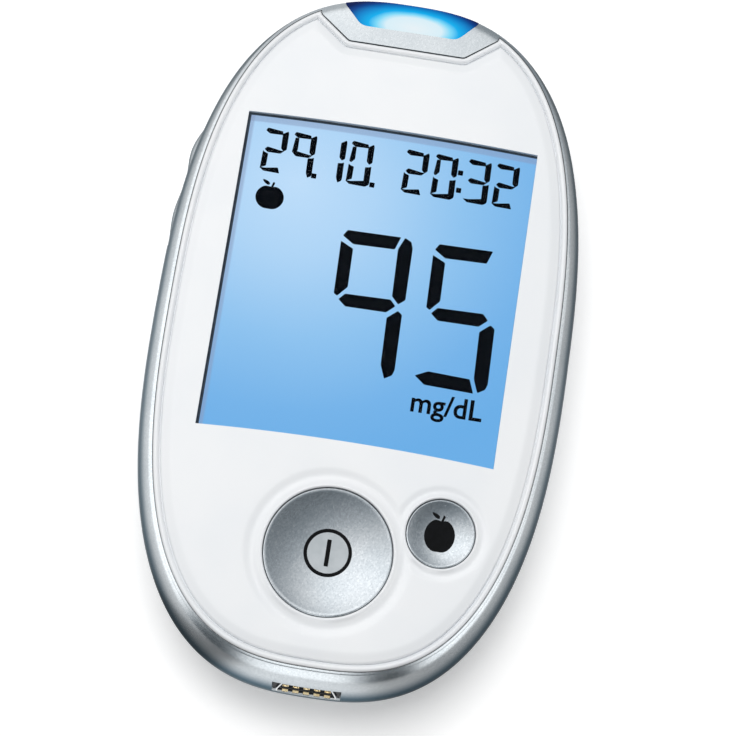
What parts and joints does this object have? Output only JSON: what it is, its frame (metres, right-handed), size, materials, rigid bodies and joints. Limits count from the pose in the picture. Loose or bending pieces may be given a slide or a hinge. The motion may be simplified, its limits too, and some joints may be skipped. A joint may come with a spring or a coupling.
{
  "type": "blood glucose meter",
  "caption": "Oval handheld blood glucose meter: white face plate with a display and two dished buttons, silver shell, side rocker, lit strip port, battery door.",
  "frame": {"origin": "middle of the flat back face, under the middle of the shell's box", "axes": "+Z out of the face, +Y towards the strip port end, +X to the right seen from the face"},
  "size_m": [0.0612, 0.1045, 0.0219],
  "materials": {
    "face_white": "gloss",
    "black_plastic": "matt",
    "clear_pane": "clear gloss",
    "silver_paint": "satin silver paint",
    "lens_blue": "clear blue, lit",
    "button_silver": "satin silver paint",
    "steel": "satin",
    "lcd_glass": "lit blue",
    "frame_white": "matt",
    "acrylic": "clear",
    "led_white": "matt",
    "zebra_rubber": "matt",
    "board_green": "solder mask",
    "switch_black": "matt",
    "gold_plate": "gold plated",
    "led_blue": "matt",
    "nickel_sheet": "bright",
    "chip_epoxy": "matt",
    "cell_jacket": "satin film",
    "spring_steel": "nickel plated"
  },
  "bodies": {
    "root": {"fascia": "face_white", "window_gasket": "black_plastic", "display_window": "clear_pane", "front_case": "silver_paint", "strip_port_lens": "lens_blue", "rocker_pin": "steel", "lcd_cell": "lcd_glass", "lcd_frame": "frame_white", "light_guide": "acrylic", "backlight_leds": "led_white", "lcd_connector": "zebra_rubber", "circuit_board": "board_green", "power_switch": "switch_black", "marker_switch": "switch_black", "rocker_switches": "switch_black", "strip_connector": "black_plastic", "strip_contacts": "gold_plate", "port_leds": "led_blue", "data_port_shell": "nickel_sheet", "data_port_tongue": "black_plastic", "data_port_contacts": "gold_plate", "processor_chip": "chip_epoxy", "analogue_chip": "chip_epoxy", "memory_chip": "chip_epoxy", "crystal": "nickel_sheet", "buzzer": "switch_black", "battery_cell_left": "cell_jacket", "battery_cell_right": "cell_jacket", "negative_terminal": "spring_steel", "positive_terminal": "spring_steel", "bridge_terminal": "spring_steel", "rear_case": "silver_paint", "case_screws": "steel"},
    "power_button": {"power_button": "button_silver"},
    "marker_button": {"marker_button": "button_silver"},
    "side_rocker": {"side_rocker": "silver_paint"},
    "battery_door": {"battery_door": "silver_paint"}
  },
  "joints": [
    {"name": "power_press", "type": "slide", "parent": "root", "child": "power_button", "axis": [0, 0, -1], "range_m": [0, 0.0005], "stiffness_N_per_m": 400},
    {"name": "marker_press", "type": "slide", "parent": "root", "child": "marker_button", "axis": [0, 0, -1], "range_m": [0, 0.0005], "stiffness_N_per_m": 400},
    {"name": "rocker_tilt", "type": "hinge", "parent": "root", "child": "side_rocker", "pos_m": [-0.02423, 0.01953, 0.0134], "axis": [0, 0, 1], "range_deg": [-2.5, 2.5], "stiffness_Nm_per_rad": 0.05},
    {"name": "door_swing", "type": "hinge", "parent": "root", "child": "battery_door", "pos_m": [0, -0.0274, 0.001], "axis": [-1, 0, 0], "range_deg": [0, 75]}
  ]
}
